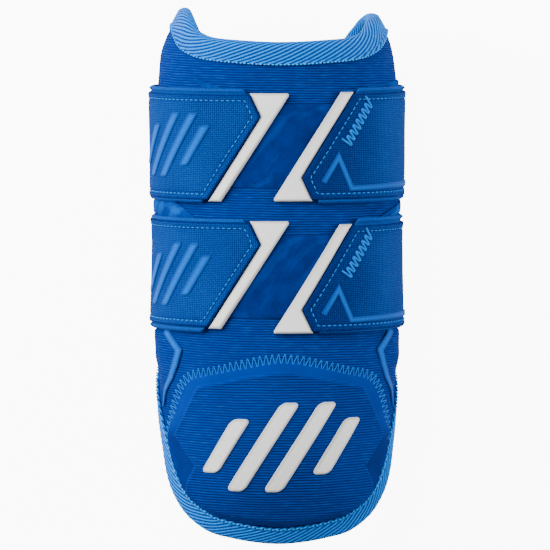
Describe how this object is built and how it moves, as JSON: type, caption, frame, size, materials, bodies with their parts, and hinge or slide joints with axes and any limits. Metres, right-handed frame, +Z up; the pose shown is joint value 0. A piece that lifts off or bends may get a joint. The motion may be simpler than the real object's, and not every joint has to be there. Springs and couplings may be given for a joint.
{
  "type": "elbow guard",
  "caption": "Padded batter's elbow guard: a half tube for the arm with a domed elbow cap, a ribbed edge tape and wide elastic straps that close behind the arm.",
  "frame": {"origin": "on the table, under the middle of the guard's box", "axes": "+Y along the arm towards the upper cuff, +Z up through the front of the guard as it lies on its back, +X to the right seen from the front"},
  "size_m": [0.12, 0.2466, 0.0955],
  "materials": {
    "shell_knit": "ribbed royal blue polyester knit over foam",
    "lining_fabric": "smooth dark blue wicking fabric over foam",
    "tape_twill": "light blue ribbed edge tape with a slight sheen",
    "cap_knit": "ribbed royal blue knit moulded over a stiff plate",
    "loop_pile": "brushed matte loop fabric",
    "elastic": "woven blue elastic",
    "tab_fabric": "fine woven blue face of the strap ends",
    "tip_rubber": "matte white moulded rubber",
    "white_rubber": "matte white raised rubber",
    "light_film": "light blue raised film with a satin finish"
  },
  "bodies": {
    "root": {"shell": "shell_knit", "lining": "lining_fabric", "edge_tape": "tape_twill", "elbow_cap": "cap_knit", "left_loop_panel": "loop_pile", "right_loop_panel": "loop_pile", "upper_front_panel": "loop_pile", "lower_front_panel": "loop_pile", "upper_strap": "elastic", "lower_strap": "elastic", "upper_left_tab": "tab_fabric", "upper_right_tab": "tab_fabric", "lower_left_tab": "tab_fabric", "lower_right_tab": "tab_fabric", "upper_left_tip": "tip_rubber", "upper_right_tip": "tip_rubber", "lower_left_tip": "tip_rubber", "lower_right_tip": "tip_rubber", "left_side_line": "light_film", "right_side_line": "light_film", "upper_tab_line": "light_film", "lower_tab_line": "light_film", "upper_tab_bar_1": "light_film", "upper_tab_bar_2": "light_film", "upper_tab_bar_3": "light_film", "upper_tab_bar_4": "light_film", "lower_tab_bar_1": "light_film", "lower_tab_bar_2": "light_film", "lower_tab_bar_3": "light_film", "lower_tab_bar_4": "light_film", "cap_bar_1": "white_rubber", "cap_bar_2": "white_rubber", "cap_bar_3": "white_rubber", "cap_bar_4": "white_rubber"}
  },
  "joints": []
}
